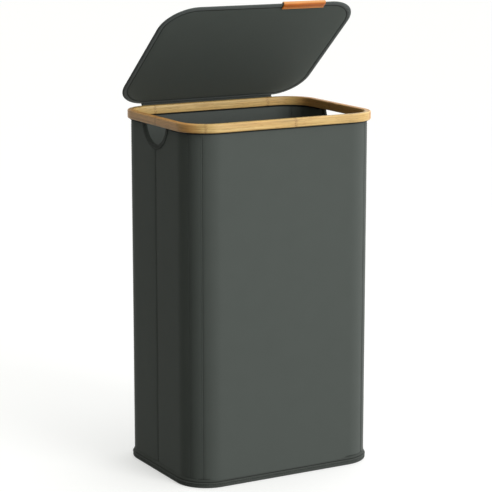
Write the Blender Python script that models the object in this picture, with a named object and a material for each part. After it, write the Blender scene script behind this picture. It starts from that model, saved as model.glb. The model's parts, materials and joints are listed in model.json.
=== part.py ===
"""Upright fabric laundry hamper with a bamboo rim and a cloth-hinged lid.

Metres, +Z up. The origin is the centre of the underside of the base, the front faces -Y and the
lid hinges along the back at +Y. The lid is modelled part way open, at LID_ANGLE.
"""
import math

import bmesh
import bpy
from mathutils import Vector

# The clearance between pieces that touch, and the facets of a quarter circle.
GAP = 0.0003
CORNER_STEPS = 12

# The bamboo rim.
RIM_WIDTH = 0.400
RIM_DEPTH = 0.300
RIM_RADIUS = 0.0595
RIM_TOP = 0.670
RIM_HEIGHT = 0.0162
RIM_THICKNESS = 0.012
RIM_ROUNDING = 0.0022
GROOVE_DEPTH = 0.010

# The upright body and the layers of its wall, from the outside in.
BODY_WIDTH = 0.389
BODY_DEPTH = 0.288
BODY_RADIUS = 0.058
CLOTH = 0.0006
BOARD = 0.0016

# The base and the hem band round it.
BASE_WIDTH = 0.3985
BASE_DEPTH = 0.2935
BASE_RADIUS = 0.0625
BASE_CLOTH = 0.0008
BASE_BOARD = 0.003
HEM_HEIGHT = 0.0165
HEM_CLOTH = 0.0008

# The stitched seams that part the stiffening boards. A corner's seams are angles round its arc
# from the long face.
NEAR_SEAM = 35.0
FAR_SEAM = 60.0
SEAM_WIDTH = 0.0012

# The half-round hand holes under the rim.
HANDLE_RADIUS = 0.0435
HANDLE_HEIGHT = 0.662
BINDING_WIDTH = 0.009
BINDING_CLOTH = 0.0008

# The lid, measured closed, and its hinge line behind the rim.
PIVOT_Y = 0.1575
PIVOT_Z = 0.657
LID_ANGLE = 40.0
LID_WIDTH = 0.402
LID_DEPTH = 0.307
LID_RADIUS = 0.064
LID_BACK = 0.1525
LID_UNDERSIDE = 0.6705
LID_BOARD = 0.002
LID_BINDING = 0.0095

# The cloth hinge strip.
STRIP_WIDTH = 0.284
STRIP_CLOTH = 0.0008
STRIP_FOLD = 0.0015
STRIP_LOW = 0.600
STRIP_BEND = 0.647
STRIP_LAP = 0.020

# The leather pull tab folded over the lid's front edge.
TAB_CENTRE = 0.076
TAB_WIDTH = 0.0885
TAB_REACH = 0.011
TAB_LEATHER = 0.0015
TAB_SLACK = 0.0022

WALL_LAYERS = {
    "sleeve": (0.0, CLOTH),
    "board": (CLOTH + GAP, CLOTH + GAP + BOARD),
    "lining": (CLOTH + 2 * GAP + BOARD, 2 * CLOTH + 2 * GAP + BOARD),
}
WALL = WALL_LAYERS["lining"][1]
WALL_FOOT = BASE_CLOTH + GAP
RIM_FOOT = RIM_TOP - RIM_HEIGHT
WALL_TOP = RIM_FOOT + GROOVE_DEPTH - GAP
QUARTERS = ((1, 1), (-1, 1), (-1, -1), (1, -1))

GREEN_CLOTH = ((0.075, 0.087, 0.078), 0.9, 0.0)
DARK_CLOTH = ((0.045, 0.052, 0.047), 0.92, 0.0)
BAMBOO = ((0.66, 0.43, 0.18), 0.5, 0.0)
LEATHER = ((0.55, 0.17, 0.05), 0.55, 0.0)
STIFFENER = ((0.42, 0.42, 0.40), 0.6, 0.0)
FIBREBOARD = ((0.36, 0.25, 0.15), 0.8, 0.0)


# ---------------------------------------------------------------- shared shapes


def clear_scene():
    """Remove every object that the file opened with."""
    for item in list(bpy.data.objects):
        bpy.data.objects.remove(item, do_unlink=True)


def arc_angles(first, last):
    """Angles in degrees from first to last, at the fineness of the corners."""
    steps = max(1, round((last - first) / 90.0 * CORNER_STEPS))
    return [first + (last - first) * step / steps for step in range(steps + 1)]


def outline(width, depth, radius, inset=0.0, first=0.0, last=360.0):
    """Points of a rounded rectangle, anticlockwise from one facing angle to another."""
    points = []
    for quarter, (side_x, side_y) in enumerate(QUARTERS):
        low = max(first, 90.0 * quarter)
        high = min(last, 90.0 * (quarter + 1))
        if high <= low:
            continue
        centre_x = side_x * (width / 2 - radius)
        centre_y = side_y * (depth / 2 - radius)
        for angle in arc_angles(low, high):
            turn = math.radians(angle)
            x = centre_x + (radius - inset) * math.cos(turn)
            y = centre_y + (radius - inset) * math.sin(turn)
            points.append((x, y))
    return points


def body_outline(inset=0.0, first=0.0, last=360.0):
    """The body's outline, moved inwards by the inset."""
    return outline(BODY_WIDTH, BODY_DEPTH, BODY_RADIUS, inset, first, last)


def rim_outline(inset=0.0):
    """The rim's outline, moved inwards by the inset."""
    return outline(RIM_WIDTH, RIM_DEPTH, RIM_RADIUS, inset)


def base_outline(inset=0.0):
    """The outline of the base, moved inwards by the inset."""
    return outline(BASE_WIDTH, BASE_DEPTH, BASE_RADIUS, inset)


def lid_outline(inset=0.0):
    """The closed lid's outline, measured from the hinge line."""
    middle = LID_BACK - LID_DEPTH / 2 - PIVOT_Y
    return [(x, y + middle) for x, y in outline(LID_WIDTH, LID_DEPTH, LID_RADIUS, inset)]


def level(points, height):
    """The same outline at one height."""
    return [(x, y, height) for x, y in points]


def quarter_bend(start, end, bulge, steps=3):
    """Points of an elliptical quarter from start to end, bowed towards the bulge corner."""
    points = []
    for step in range(steps + 1):
        turn = math.pi / 2 * step / steps
        near = 1 - math.sin(turn)
        far = 1 - math.cos(turn)
        points.append(tuple(
            bulge[axis] + (start[axis] - bulge[axis]) * near + (end[axis] - bulge[axis]) * far
            for axis in range(2)))
    return points


def make_material(name, look):
    """A Principled material with one colour, roughness and metallic value."""
    colour, roughness, metallic = look
    material = bpy.data.materials.new(name)
    material.use_nodes = True
    shader = material.node_tree.nodes["Principled BSDF"]
    shader.inputs["Base Color"].default_value = (*colour, 1.0)
    shader.inputs["Roughness"].default_value = roughness
    shader.inputs["Metallic"].default_value = metallic
    return material


def make_object(name, bm, look, smooth=30.0):
    """Turn a bmesh into a named object with outward faces and its own material."""
    bmesh.ops.recalc_face_normals(bm, faces=bm.faces)
    mesh = bpy.data.meshes.new(name)
    bm.to_mesh(mesh)
    bm.free()
    mesh.shade_smooth()
    mesh.set_sharp_from_angle(angle=math.radians(smooth))
    mesh.materials.append(make_material(name, look))
    piece = bpy.data.objects.new(name, mesh)
    bpy.context.scene.collection.objects.link(piece)
    return piece


def stack(name, loops, look, closed=False):
    """Bridge a list of equal loops into a solid: a ring when closed, capped at both ends if not."""
    bm = bmesh.new()
    rows = [[bm.verts.new(point) for point in loop] for loop in loops]
    pairs = list(zip(rows, rows[1:]))
    if closed:
        pairs.append((rows[-1], rows[0]))
    else:
        bm.faces.new(rows[0])
        bm.faces.new(rows[-1])
    for lower, upper in pairs:
        for index in range(len(lower)):
            following = (index + 1) % len(lower)
            bm.faces.new((lower[index], lower[following], upper[following], upper[index]))
    return make_object(name, bm, look)


def plate(name, points, low, high, look):
    """A flat piece of one outline between two heights."""
    return stack(name, [level(points, low), level(points, high)], look)


def extruded(name, profile, x_low, x_high, look):
    """A profile in Y and Z drawn out along X."""
    loops = [[(x, y, z) for y, z in profile] for x in (x_low, x_high)]
    return stack(name, loops, look)


def ribbon(points, thickness):
    """The closed profile of a band of even thickness along a bent line in Y and Z."""
    sides = ([], [])
    for index, point in enumerate(points):
        here = Vector(point)
        before = here - Vector(points[index - 1]) if index else None
        after = Vector(points[index + 1]) - here if index + 1 < len(points) else None
        if before is None:
            before = after
        if after is None:
            after = before
        along = (before.normalized() + after.normalized()).normalized()
        across = Vector((-along.y, along.x))
        reach = thickness / 2 / across.dot(Vector((-before.y, before.x)).normalized())
        sides[0].append(tuple(here + across * reach))
        sides[1].append(tuple(here - across * reach))
    return sides[0] + sides[1][::-1]


def cut(piece, cutter):
    """Take the cutter's volume out of a piece."""
    modifier = piece.modifiers.new(cutter.name, "BOOLEAN")
    modifier.operation = "DIFFERENCE"
    modifier.solver = "EXACT"
    modifier.object = cutter


def as_cutter(piece):
    """Hide a solid that only cuts others."""
    piece.hide_render = True
    piece.display_type = "WIRE"
    return piece


# ---------------------------------------------------------------- rim


def build_rim():
    """One bent bamboo hoop with softened edges and a groove that grips the top of the wall."""
    edge = RIM_ROUNDING
    inner = RIM_THICKNESS
    outer_foot = quarter_bend((edge, RIM_FOOT), (0, RIM_FOOT + edge), (0, RIM_FOOT))
    outer_top = quarter_bend((0, RIM_TOP - edge), (edge, RIM_TOP), (0, RIM_TOP))
    inner_top = quarter_bend((inner - edge, RIM_TOP), (inner, RIM_TOP - edge), (inner, RIM_TOP))
    inner_foot = (inner, RIM_FOOT)
    profile = outer_foot + outer_top + inner_top + [inner_foot]
    loops = [level(rim_outline(inset), height) for inset, height in profile]
    groove_top = RIM_FOOT + GROOVE_DEPTH
    for inset, height in (
        (WALL + GAP, RIM_FOOT),
        (WALL + GAP, groove_top),
        (-GAP, groove_top),
        (-GAP, RIM_FOOT),
    ):
        loops.append(level(body_outline(inset), height))
    stack("bamboo_rim_ring", loops, BAMBOO, closed=True)


# ---------------------------------------------------------------- body


def handle_cutter():
    """A bar across the body that opens both hand holes in every layer of the wall."""
    radius = HANDLE_RADIUS + BINDING_CLOTH + GAP
    profile = []
    for step in range(4 * CORNER_STEPS):
        turn = math.tau * step / (4 * CORNER_STEPS)
        profile.append((radius * math.cos(turn), HANDLE_HEIGHT + radius * math.sin(turn)))
    return as_cutter(extruded("handle_cutter", profile, -BODY_WIDTH, BODY_WIDTH, STIFFENER))


def build_sleeve(cutter):
    """The outer cloth tube of the wall."""
    outer, inner = WALL_LAYERS["sleeve"]
    loops = [
        level(body_outline(outer), WALL_FOOT),
        level(body_outline(outer), WALL_TOP),
        level(body_outline(inner), WALL_TOP),
        level(body_outline(inner), WALL_FOOT),
    ]
    cut(stack("outer_sleeve", loops, GREEN_CLOTH, closed=True), cutter)


def build_lining(cutter):
    """The inner cloth bag, with a floor that lies on the base board."""
    outer, inner = WALL_LAYERS["lining"]
    floor = WALL_FOOT + BASE_BOARD + GAP
    loops = [
        level(body_outline(outer), floor),
        level(body_outline(outer), WALL_TOP),
        level(body_outline(inner), WALL_TOP),
        level(body_outline(inner), floor + CLOTH),
    ]
    cut(stack("inner_lining", loops, DARK_CLOTH), cutter)


def wall_panel(name, first, last, middle=None):
    """A stiffening board between two seams; middle is the signed X and Y side of a centre seam."""
    faces = []
    for inset in WALL_LAYERS["board"]:
        half_seam = math.degrees(SEAM_WIDTH / 2 / (BODY_RADIUS - inset))
        low = first if first % 90 == 0 else first + half_seam
        high = last if last % 90 == 0 else last - half_seam
        points = body_outline(inset, low, high)
        if middle:
            side_x, side_y = middle
            centre = (side_x * (BODY_WIDTH / 2 - inset), side_y * SEAM_WIDTH / 2)
            points.insert(len(points) if side_x * side_y < 0 else 0, centre)
        faces.append(points)
    profile = faces[0] + faces[1][::-1]
    return plate(name, profile, WALL_FOOT, WALL_TOP, STIFFENER)


def build_boards(cutter):
    """Front and back boards, folding half boards in the short sides, and a stay in each corner."""
    wall_panel("front_board", 270 - NEAR_SEAM, 270 + NEAR_SEAM)
    wall_panel("back_board", 90 - NEAR_SEAM, 90 + NEAR_SEAM)
    halves = (
        ("right_rear_board", 0, 90 - FAR_SEAM, (1, 1)),
        ("left_rear_board", 90 + FAR_SEAM, 180, (-1, 1)),
        ("left_front_board", 180, 270 - FAR_SEAM, (-1, -1)),
        ("right_front_board", 270 + FAR_SEAM, 360, (1, -1)),
    )
    for name, first, last, middle in halves:
        cut(wall_panel(name, first, last, middle), cutter)
    wall_panel("rear_right_corner_stay", 90 - FAR_SEAM, 90 - NEAR_SEAM)
    wall_panel("rear_left_corner_stay", 90 + NEAR_SEAM, 90 + FAR_SEAM)
    wall_panel("front_left_corner_stay", 270 - FAR_SEAM, 270 - NEAR_SEAM)
    wall_panel("front_right_corner_stay", 270 + NEAR_SEAM, 270 + FAR_SEAM)


def build_handle_bindings():
    """A folded tape over the raw edge of each hand hole, ending just under the rim."""
    inside = BODY_WIDTH / 2 - WALL - GAP
    outside = BODY_WIDTH / 2 + GAP
    tape = BINDING_CLOTH
    low = HANDLE_RADIUS
    high = HANDLE_RADIUS + BINDING_WIDTH
    profile = (
        (inside - tape, low),
        (outside + tape, low),
        (outside + tape, high),
        (outside, high),
        (outside, low + tape),
        (inside, low + tape),
        (inside, high),
        (inside - tape, high),
    )
    steps = 2 * CORNER_STEPS
    above = as_cutter(plate(
        "above_bindings", outline(2 * BODY_WIDTH, BODY_DEPTH, GAP), RIM_FOOT - GAP, RIM_TOP, STIFFENER))
    for name, side in (("left_handle_binding", -1), ("right_handle_binding", 1)):
        loops = []
        for step in range(steps + 1):
            turn = math.pi + math.pi * step / steps
            loops.append([
                (side * x, radius * math.cos(turn), HANDLE_HEIGHT + radius * math.sin(turn))
                for x, radius in profile])
        cut(stack(name, loops, DARK_CLOTH), above)


def build_base():
    """The base cloth, the rigid board above it and the flared hem band round the foot."""
    plate("base_cloth", body_outline(), 0.0, BASE_CLOTH, DARK_CLOTH)
    board_inset = WALL_LAYERS["lining"][0]
    plate("base_board", body_outline(board_inset), WALL_FOOT, WALL_FOOT + BASE_BOARD, FIBREBOARD)
    top = -(GAP + HEM_CLOTH)
    shoulder = HEM_HEIGHT * 0.78
    belly = HEM_HEIGHT * 0.30
    loops = [
        level(body_outline(-GAP), 0.0),
        level(base_outline(0.0012), 0.0),
        level(base_outline(), 0.0014),
        level(base_outline(), belly),
        level(base_outline(0.0016), shoulder),
        level(body_outline(top), HEM_HEIGHT),
        level(body_outline(-GAP), HEM_HEIGHT),
    ]
    stack("hem_band", loops, GREEN_CLOTH, closed=True)


# ---------------------------------------------------------------- lid and hinge


def make_pivot():
    """The empty on the hinge line that carries the lid, turned to its open angle."""
    pivot = bpy.data.objects.new("lid_pivot", None)
    pivot.location = (0.0, PIVOT_Y, PIVOT_Z)
    pivot.rotation_euler = (-math.radians(LID_ANGLE), 0.0, 0.0)
    bpy.context.scene.collection.objects.link(pivot)
    return pivot


def build_lid():
    """The lid's board, its two cloth faces and the bound edge, measured from the hinge line."""
    low = LID_UNDERSIDE - PIVOT_Z
    board_low = low + CLOTH + GAP
    board_high = board_low + LID_BOARD
    high = board_high + GAP + CLOTH
    face_inset = LID_BINDING + GAP
    pieces = [
        plate("lid_underside_cloth", lid_outline(face_inset), low, low + CLOTH, DARK_CLOTH),
        plate("lid_board", lid_outline(CLOTH + GAP), board_low, board_high, STIFFENER),
        plate("lid_top_cloth", lid_outline(face_inset), high - CLOTH, high, GREEN_CLOTH),
    ]
    edge = CLOTH
    profile = (
        (LID_BINDING, low),
        (edge, low),
        (0.0, low + edge),
        (0.0, high - edge),
        (edge, high),
        (LID_BINDING, high),
        (LID_BINDING, high - CLOTH),
        (CLOTH, high - CLOTH),
        (CLOTH, low + CLOTH),
        (LID_BINDING, low + CLOTH),
    )
    loops = [level(lid_outline(inset), height) for inset, height in profile]
    pieces.append(stack("lid_edge_binding", loops, GREEN_CLOTH, closed=True))
    return pieces


def build_pull_tab():
    """A strip of leather folded over the lid's front edge, off centre to the right."""
    front = LID_BACK - LID_DEPTH - PIVOT_Y
    low = LID_UNDERSIDE - PIVOT_Z - GAP - TAB_LEATHER / 2
    high = LID_UNDERSIDE - PIVOT_Z + 2 * (CLOTH + GAP) + LID_BOARD + GAP + TAB_LEATHER / 2
    nose = front - TAB_SLACK - TAB_LEATHER / 2
    middle = (low + high) / 2
    lower_bend = quarter_bend((front, low), (nose, middle), (nose, low), 4)
    upper_bend = quarter_bend((nose, middle), (front, high), (nose, high), 4)[1:]
    line = [(front + TAB_REACH, low)] + lower_bend + upper_bend + [(front + TAB_REACH, high)]
    profile = ribbon(line, TAB_LEATHER)
    return extruded(
        "leather_pull_tab", profile, TAB_CENTRE - TAB_WIDTH / 2, TAB_CENTRE + TAB_WIDTH / 2, LEATHER)


def build_hinge_strip():
    """The two halves of the cloth hinge, which meet at the hinge line."""
    half = STRIP_WIDTH / 2
    back = BODY_DEPTH / 2 + GAP + STRIP_CLOTH / 2
    bend = Vector((back, STRIP_BEND))
    hinge = Vector((PIVOT_Y, PIVOT_Z))
    end = hinge + (bend - hinge).normalized() * STRIP_FOLD
    fixed_line = [(back, STRIP_LOW), tuple(bend), tuple(end)]
    extruded("hinge_strip_body", ribbon(fixed_line, STRIP_CLOTH), -half, half, DARK_CLOTH)
    rear = LID_BACK - PIVOT_Y + GAP + STRIP_CLOTH / 2
    low = LID_UNDERSIDE - PIVOT_Z
    high = low + 2 * (CLOTH + GAP) + LID_BOARD + GAP + STRIP_CLOTH / 2
    start = Vector((rear, low)).normalized() * STRIP_FOLD
    lid_line = [tuple(start), (rear, low), (rear, high), (rear - STRIP_LAP, high)]
    return extruded("hinge_strip_lid", ribbon(lid_line, STRIP_CLOTH), -half, half, DARK_CLOTH)


def build():
    """Build the whole hamper."""
    clear_scene()
    build_rim()
    cutter = handle_cutter()
    build_sleeve(cutter)
    build_lining(cutter)
    build_boards(cutter)
    build_handle_bindings()
    build_base()
    pivot = make_pivot()
    for piece in build_lid() + [build_pull_tab(), build_hinge_strip()]:
        piece.parent = pivot


build()
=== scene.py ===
"""The finished look of the laundry hamper: woven cloth, bound edges, stitching, bamboo and leather."""

import json
import math

import bmesh
import bpy
from mathutils import Matrix, Vector, noise


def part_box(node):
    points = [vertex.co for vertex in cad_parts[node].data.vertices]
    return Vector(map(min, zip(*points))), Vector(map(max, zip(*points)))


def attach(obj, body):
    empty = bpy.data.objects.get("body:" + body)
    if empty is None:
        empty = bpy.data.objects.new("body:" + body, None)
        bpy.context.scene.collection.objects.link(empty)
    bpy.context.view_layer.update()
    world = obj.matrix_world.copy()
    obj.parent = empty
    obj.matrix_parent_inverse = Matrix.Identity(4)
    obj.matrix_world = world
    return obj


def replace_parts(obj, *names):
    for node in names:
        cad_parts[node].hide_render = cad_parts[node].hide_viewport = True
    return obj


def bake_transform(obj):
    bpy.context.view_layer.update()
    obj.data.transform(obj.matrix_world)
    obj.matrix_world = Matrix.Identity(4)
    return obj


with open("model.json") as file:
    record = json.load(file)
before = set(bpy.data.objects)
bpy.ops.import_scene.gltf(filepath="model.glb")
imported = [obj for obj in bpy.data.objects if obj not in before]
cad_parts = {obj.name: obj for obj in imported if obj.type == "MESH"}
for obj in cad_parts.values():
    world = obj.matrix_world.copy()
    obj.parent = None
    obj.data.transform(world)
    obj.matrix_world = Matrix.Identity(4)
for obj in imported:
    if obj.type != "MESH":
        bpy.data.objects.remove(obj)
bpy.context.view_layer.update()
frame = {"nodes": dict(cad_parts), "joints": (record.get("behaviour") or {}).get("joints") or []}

# Corner radii and clearances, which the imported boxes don't show.
RIM_RADIUS = 0.0595
BODY_RADIUS = 0.058
BASE_RADIUS = 0.0625
LID_RADIUS = 0.064
RIM_THICKNESS = 0.012
RIM_ROUNDING = 0.0024
CLOTH = 0.0006
WALL = 0.0034

# Places of the seams, the hand holes and the lid, whose own places are measured from the hinge line.
NEAR_SEAM = math.radians(35)
FAR_SEAM = math.radians(60)
SEAM_TOP = 0.650
HANDLE_RADIUS = 0.0435
HANDLE_HEIGHT = 0.662
TAPE_WIDTH = 0.009
LID_OPEN = math.radians(40)
LID_DEPTH = 0.307
LID_BACK = -0.005
LID_LOW = 0.0135
LID_THICKNESS = 0.0038
LID_MIDDLE = LID_LOW + LID_THICKNESS / 2
LID_BORDER = 0.0095

# Sewing thread, and the threads' rows either side of a wall seam.
STITCH_PITCH = 0.0045
STITCH_LENGTH = 0.0030
STITCH_WIDTH = 0.0009
STITCH_LIFT = 0.0003
TWIN_ROWS = 0.0017

RIM_LOW, RIM_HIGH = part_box("bamboo_rim_ring")
WALL_LOW, WALL_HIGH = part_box("outer_sleeve")
HEM_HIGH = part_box("hem_band")[1]
LINING_LOW, LINING_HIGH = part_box("inner_lining")
STRIP_LOW, STRIP_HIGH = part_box("hinge_strip_body")
TAB_LOW, TAB_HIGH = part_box("leather_pull_tab")
LID_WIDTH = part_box("lid_edge_binding")[1].x * 2
PIVOT = Vector(frame["joints"][0]["pos_m"])
LID_PLACE = Matrix.Translation(PIVOT) @ Matrix.Rotation(-LID_OPEN, 4, "X")


# Outlines


class Outline:
    """A rounded rectangle walked anticlockwise from the middle of its back, by distance."""

    def __init__(self, width, depth, radius, middle_y=0.0):
        self.width, self.depth, self.radius, self.middle_y = width, depth, radius, middle_y
        corner_x, corner_y = width / 2 - radius, depth / 2 - radius
        bend = math.pi / 2 * radius
        flats = (2 * corner_y, 2 * corner_x, 2 * corner_y, corner_x)
        signs = ((-1, 1), (-1, -1), (1, -1), (1, 1))
        self.pieces = [(0.0, corner_x, "flat", (Vector((0, depth / 2)), math.pi / 2))]
        start = corner_x
        for quarter, (sign_x, sign_y) in enumerate(signs):
            centre = Vector((sign_x * corner_x, sign_y * corner_y))
            angle = math.pi / 2 * (quarter + 1)
            self.pieces.append((start, bend, "bend", (centre, angle)))
            start += bend
            angle += math.pi / 2
            edge = centre + Vector((math.cos(angle), math.sin(angle))) * radius
            self.pieces.append((start, flats[quarter], "flat", (edge, angle)))
            start += flats[quarter]
        self.length = start

    def at(self, along, inset=0.0):
        """The point at a distance along the outline, moved inwards, and the outward normal."""
        along = min(max(along, 0.0), self.length)
        for start, length, kind, (origin, angle) in self.pieces:
            if along <= start + length + 1e-9:
                break
        if kind == "flat":
            normal = Vector((math.cos(angle), math.sin(angle)))
            forward = Vector((-normal.y, normal.x))
            point = origin + forward * (along - start) - normal * inset
        else:
            turn = angle + (along - start) / self.radius
            normal = Vector((math.cos(turn), math.sin(turn)))
            point = origin + normal * (self.radius - inset)
        return Vector((point.x, point.y + self.middle_y)), normal

    def corner(self, quarter, turn):
        """Distance of the point that lies turn radians round a corner; 0 is the rear left one."""
        start = self.pieces[1 + 2 * quarter][0]
        return start + turn * self.radius

    def side(self, quarter):
        """Distance of the middle of a straight side: 0 left, 1 front, 2 right."""
        start, length = self.pieces[2 + 2 * quarter][:2]
        return start + length / 2

    def stations(self, flat_step, bend_step, marks=(), offsets=(0.0,)):
        """Distances to sample at, close together in the corners and at marked lines."""
        found = {0.0, self.length}
        for start, length, kind, _ in self.pieces:
            count = max(1, round(length / (flat_step if kind == "flat" else bend_step)))
            found.update(start + length * index / count for index in range(count))
        for mark in marks:
            found = {s for s in found if abs(s - mark) > max(offsets) + 0.0006}
            found.update(mark + offset for offset in offsets)
            found.update(mark - offset for offset in offsets)
        kept = [0.0]
        for value in sorted(found)[1:]:
            if value - kept[-1] > 0.0001:
                kept.append(value)
        return kept


RIM = Outline(2 * RIM_HIGH.x, 2 * RIM_HIGH.y, RIM_RADIUS)
BODY = Outline(2 * WALL_HIGH.x, 2 * WALL_HIGH.y, BODY_RADIUS)
BASE = Outline(2 * HEM_HIGH.x, 2 * HEM_HIGH.y, BASE_RADIUS)
LID = Outline(LID_WIDTH, LID_DEPTH, LID_RADIUS, LID_BACK - LID_DEPTH / 2)


def corner_seams(outline):
    """The two stitched lines in each corner, NEAR_SEAM and FAR_SEAM round from the long face."""
    seams = []
    for quarter in range(4):
        for turn in (NEAR_SEAM, FAR_SEAM):
            seams.append(outline.corner(quarter, turn if quarter % 2 == 0 else math.pi / 2 - turn))
    return seams


SIDE_SEAMS = [BODY.side(0), BODY.side(2)]
WALL_SEAMS = corner_seams(BODY) + SIDE_SEAMS


# Mesh helpers


def finish_mesh(name, bm, materials, sharp=35.0, place=None):
    """Turn a bmesh into a linked, smooth-shaded object, moved by a matrix where one is given."""
    mesh = bpy.data.meshes.new(name)
    bm.to_mesh(mesh)
    bm.free()
    mesh.shade_smooth()
    mesh.set_sharp_from_angle(angle=math.radians(sharp))
    for material in materials:
        mesh.materials.append(material)
    if place is not None:
        mesh.transform(place)
    piece = bpy.data.objects.new(name, mesh)
    bpy.context.scene.collection.objects.link(piece)
    return piece


def grid(name, along, across, place, materials, wrap=False, drop=None):
    """A grid of points place(u, v) with its distances as UVs; drop removes points by their u, v."""
    bm = bmesh.new()
    layer = bm.loops.layers.uv.new("cloth")
    columns = along[:-1] if wrap else along
    points = {}
    for i, u in enumerate(columns):
        for j, v in enumerate(across):
            if drop is None or not drop(u, v):
                points[i, j] = bm.verts.new(place(u, v))
    last = len(columns) if wrap else len(columns) - 1
    for i in range(last):
        for j in range(len(across) - 1):
            keys = ((i, j), (i + 1, j), (i + 1, j + 1), (i, j + 1))
            corners = [(a % len(columns), b) for a, b in keys]
            if all(corner in points for corner in corners):
                face = bm.faces.new([points[corner] for corner in corners])
                for loop, (a, b) in zip(face.loops, keys):
                    loop[layer].uv = (along[a], across[b])
    bmesh.ops.delete(bm, geom=[v for v in bm.verts if not v.link_faces], context="VERTS")
    return finish_mesh(name, bm, materials)


def loft(name, rows, uv_at, materials, wrap=False, sharp=35.0, place=None):
    """Closed profiles joined one to the next, and back to the first or with a cap at each end."""
    bm = bmesh.new()
    layer = bm.loops.layers.uv.new("cloth")
    profiles = [[bm.verts.new(point) for point in row] for row in rows]
    count = len(profiles[0])
    for i in range(len(profiles) if wrap else len(profiles) - 1):
        near, far = profiles[i], profiles[(i + 1) % len(profiles)]
        for j in range(count):
            k = (j + 1) % count
            face = bm.faces.new((near[j], far[j], far[k], near[k]))
            for loop, spot in zip(face.loops, ((i, j), (i + 1, j), (i + 1, j + 1), (i, j + 1))):
                loop[layer].uv = uv_at(*spot)
    if not wrap:
        bm.faces.new(profiles[0])
        bm.faces.new(profiles[-1])
    bmesh.ops.recalc_face_normals(bm, faces=bm.faces)
    return finish_mesh(name, bm, materials, sharp, place)


def sweep(name, outline, stations, profile, materials, place=None):
    """A closed profile of (inset, height) points carried once round an outline."""
    distance = [0.0]
    for a, b in zip(profile, profile[1:] + profile[:1]):
        distance.append(distance[-1] + math.hypot(b[0] - a[0], b[1] - a[1]))
    rows = []
    for s in stations[:-1]:
        spots = [(outline.at(s, inset)[0], height) for inset, height in profile]
        rows.append([(point.x, point.y, height) for point, height in spots])
    return loft(name, rows, lambda i, j: (stations[i], distance[j]), materials, wrap=True, place=place)


def cord(name, runs, radius, material, body, place=None):
    """Thin round cords laid along outlines; each run is (outline, inset, height)."""
    pieces = []
    for outline, inset, height in runs:
        profile = arc((inset, height), radius, 0, 315, 7)
        pieces.append(sweep(name, outline, outline.stations(0.008, 0.004), profile, [material], place))
    bm = bmesh.new()
    for piece in pieces:
        bm.from_mesh(piece.data)
    for piece in pieces:
        mesh = piece.data
        bpy.data.objects.remove(piece)
        bpy.data.meshes.remove(mesh)
    joined = finish_mesh(name, bm, [material], sharp=80)
    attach(joined, body)
    return joined


def disc(name, outline, insets, stations, height, material, facing, place=None):
    """A cloth inside an outline, as nested rings; height(point, s, inset) gives each point's height."""
    bm = bmesh.new()
    layer = bm.loops.layers.uv.new("cloth")
    rings = []
    for inset in insets:
        ring = []
        for s in stations:
            point, _ = outline.at(s, inset)
            ring.append(bm.verts.new((point.x, point.y, height(point, s, inset))))
        rings.append(ring)
    for a, b in zip(rings, rings[1:]):
        for index in range(len(a)):
            k = (index + 1) % len(a)
            bm.faces.new((a[index], a[k], b[k], b[index]))
    bm.faces.new(rings[-1])
    for face in bm.faces:
        for loop in face.loops:
            loop[layer].uv = (loop.vert.co.x, loop.vert.co.y)
        if facing < 0:
            face.normal_flip()
    return finish_mesh(name, bm, [material], place=place)


def thicken(piece, thickness, offset=-1.0):
    """Give a sheet its real thickness."""
    solid = piece.modifiers.new("thickness", "SOLIDIFY")
    solid.thickness = thickness
    solid.offset = offset


def arc(centre, radius, first, last, steps):
    """Points on an arc, angles in degrees."""
    points = []
    for step in range(steps + 1):
        turn = math.radians(first + (last - first) * step / steps)
        points.append((centre[0] + radius * math.cos(turn), centre[1] + radius * math.sin(turn)))
    return points


def spread(first, last, step):
    """Evenly spaced values from first to last."""
    count = max(1, round((last - first) / step))
    return [first + (last - first) * index / count for index in range(count + 1)]


def stitches(name, spots, material, place=None):
    """Thread stitches, pulled into the cloth at their ends; each spot is (centre, direction, normal)."""
    bm = bmesh.new()
    sides = 5
    radius = STITCH_WIDTH / 2
    shape = ((-0.5, 0.4, -0.6), (-0.28, 1.0, 0.8), (0.28, 1.0, 0.8), (0.5, 0.4, -0.6))
    for centre, direction, normal in spots:
        forward = direction.normalized()
        up = (normal - forward * normal.dot(forward)).normalized()
        across = forward.cross(up)
        rings = []
        for share, size, rise in shape:
            middle = centre + forward * (share * STITCH_LENGTH) + up * (STITCH_LIFT * rise)
            ring = []
            for side in range(sides):
                turn = math.tau * side / sides
                offset = across * math.cos(turn) + up * math.sin(turn)
                ring.append(bm.verts.new(middle + offset * (radius * size)))
            rings.append(ring)
        for a, b in zip(rings, rings[1:]):
            for side in range(sides):
                k = (side + 1) % sides
                bm.faces.new((a[side], a[k], b[k], b[side]))
        bm.faces.new(rings[0][::-1])
        bm.faces.new(rings[-1])
    bmesh.ops.recalc_face_normals(bm, faces=bm.faces)
    return finish_mesh(name, bm, [material], 80, place)


def outline_spots(outline, inset, height, up):
    """Stitch places all round an outline at one height, facing up (1), down (-1) or outwards (0)."""
    spots = []
    count = int(outline.length / STITCH_PITCH)
    for index in range(count):
        s = outline.length * (index + 0.5) / count
        point, normal = outline.at(s, inset)
        centre = Vector((point.x, point.y, height))
        direction = Vector((-normal.y, normal.x, 0))
        facing = Vector((normal.x * (1 - abs(up)), normal.y * (1 - abs(up)), up))
        spots.append((centre, direction, facing))
    return spots


# Materials


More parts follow.
